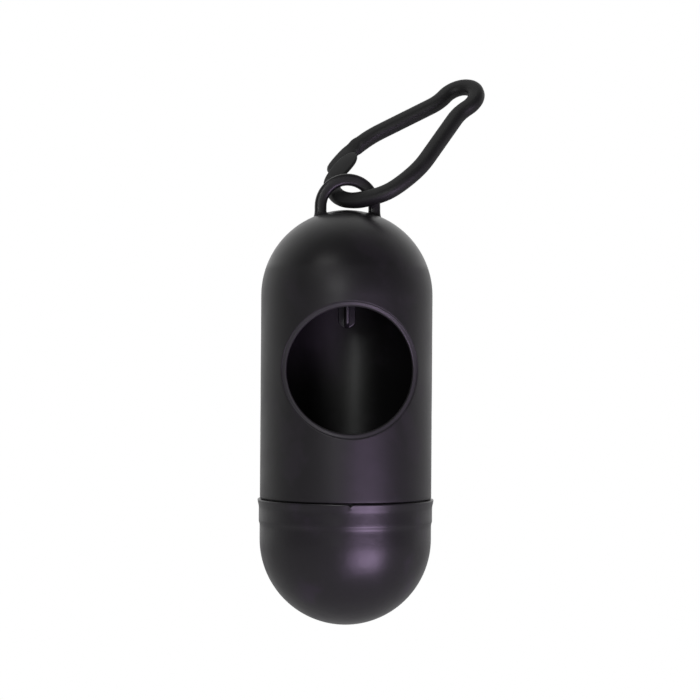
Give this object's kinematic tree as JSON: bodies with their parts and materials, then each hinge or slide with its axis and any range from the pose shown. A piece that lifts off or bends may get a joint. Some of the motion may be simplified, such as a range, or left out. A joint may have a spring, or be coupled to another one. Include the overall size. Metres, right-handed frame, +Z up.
{
  "type": "bag dispenser",
  "caption": "Capsule-shaped dispenser for dog waste bags, with a round window, a push-fit bottom cap and a plastic snap hook through its moulded eye.",
  "frame": {"origin": "on the capsule's axis at the seam between case and cap", "axes": "+Z up the capsule's axis towards the eye, -Y the side of the window, +X the side that the snap hook leans to"},
  "size_m": [0.0486, 0.037, 0.1165],
  "materials": {
    "case_plastic": "satin dark charcoal",
    "cap_plastic": "smoother satin dark charcoal",
    "hook_plastic": "satin black"
  },
  "bodies": {
    "clip": {"clip_hook": "hook_plastic"},
    "gate": {"clip_gate": "hook_plastic"},
    "case": {"upper_case": "case_plastic"},
    "cap": {"bottom_cap": "cap_plastic"}
  },
  "joints": [
    {"name": "case_swing", "type": "hinge", "parent": "clip", "child": "case", "pos_m": [0, 0, 0.0615], "axis": [0, 1, 0], "range_deg": [-10, 30]},
    {"name": "cap_pull", "type": "slide", "parent": "case", "child": "cap", "axis": [0, 0, -1], "range_m": [0, 0.04]},
    {"name": "gate_flex", "type": "hinge", "parent": "clip", "child": "gate", "pos_m": [0.01917, 0.01026, 0.08417], "axis": [-0.3997, -0.6235, 0.6719], "range_deg": [0, 14], "stiffness_Nm_per_rad": 0.3}
  ]
}
